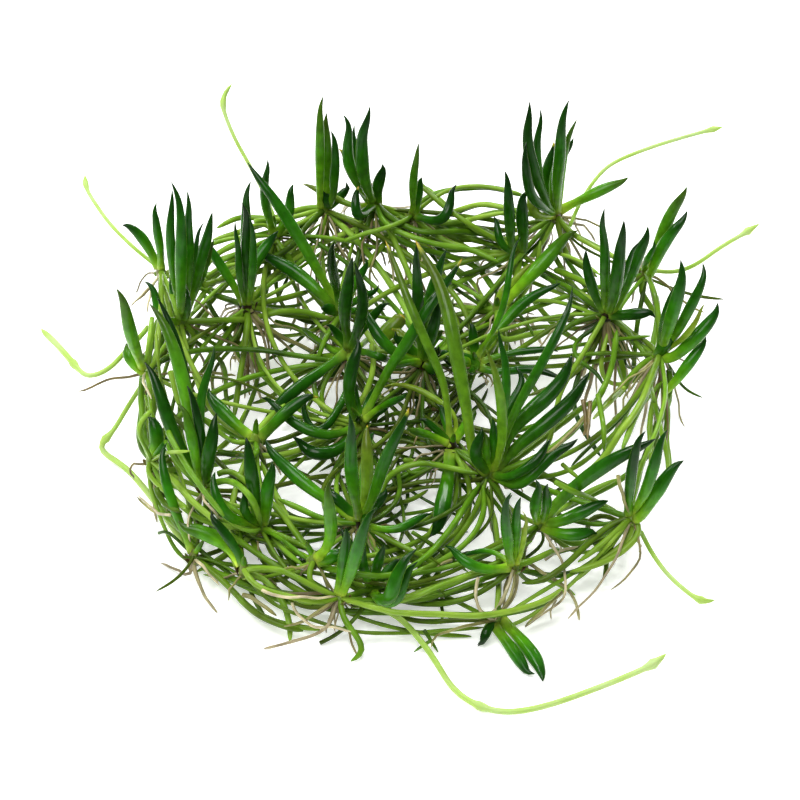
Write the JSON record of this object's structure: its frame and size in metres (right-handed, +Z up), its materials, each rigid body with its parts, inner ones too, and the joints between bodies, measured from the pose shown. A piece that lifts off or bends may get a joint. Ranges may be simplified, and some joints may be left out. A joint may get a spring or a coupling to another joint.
{
  "type": "shoreweed mat",
  "caption": "Mat of shoreweed rosettes with awl-shaped leaves, tied by green stolons wound into a ring, with hanging roots and free runners.",
  "frame": {"origin": "middle of the mat's footprint on the surface that it lies on", "axes": "+Z up, leaves grow this way; -Y is the front, where the mat is thinnest and a long runner leaves it; +X to the right seen from the front"},
  "size_m": [0.1014, 0.094, 0.0387],
  "materials": {
    "rosette": "fleshy green leaf, wet, with paler base, darker tip and olive roots",
    "stolon": "smooth yellow-green stem, wet",
    "runner": "pale translucent young stem, wet"
  },
  "bodies": {
    "root": {"rosette_back_dark": "rosette", "rosette_back_far_left": "rosette", "rosette_back_inner": "rosette", "rosette_back_left": "rosette", "rosette_back_middle": "rosette", "rosette_back_right": "rosette", "rosette_back_small": "rosette", "rosette_centre": "rosette", "rosette_centre_back": "rosette", "rosette_centre_dark": "rosette", "rosette_centre_front": "rosette", "rosette_centre_left": "rosette", "rosette_centre_right": "rosette", "rosette_centre_strap": "rosette", "rosette_front": "rosette", "rosette_front_bottom": "rosette", "rosette_front_left": "rosette", "rosette_front_left_inner": "rosette", "rosette_front_left_upper": "rosette", "rosette_front_middle": "rosette", "rosette_front_right": "rosette", "rosette_front_right_inner": "rosette", "rosette_front_under": "rosette", "rosette_inner_left": "rosette", "rosette_left": "rosette", "rosette_left_back": "rosette", "rosette_left_front": "rosette", "rosette_left_front_inner": "rosette", "rosette_left_inner": "rosette", "rosette_left_low": "rosette", "rosette_left_outer": "rosette", "rosette_right": "rosette", "rosette_right_back": "rosette", "rosette_right_front": "rosette", "rosette_right_inner": "rosette", "runner_back": "runner", "runner_back_left": "runner", "runner_back_right": "runner", "runner_front": "runner", "runner_front_right": "runner", "runner_left": "runner", "runner_left_front": "runner", "runner_right": "runner", "stolon_back_lower": "stolon", "stolon_back_middle": "stolon", "stolon_back_upper": "stolon", "stolon_centre_front": "stolon", "stolon_centre_left": "stolon", "stolon_front_inner_right": "stolon", "stolon_front_left": "stolon", "stolon_front_lower": "stolon", "stolon_front_upper": "stolon", "stolon_left": "stolon", "stolon_left_back": "stolon", "stolon_left_inner": "stolon", "stolon_middle": "stolon", "stolon_right": "stolon", "stolon_right_inner": "stolon", "stolon_right_outer": "stolon"}
  },
  "joints": []
}
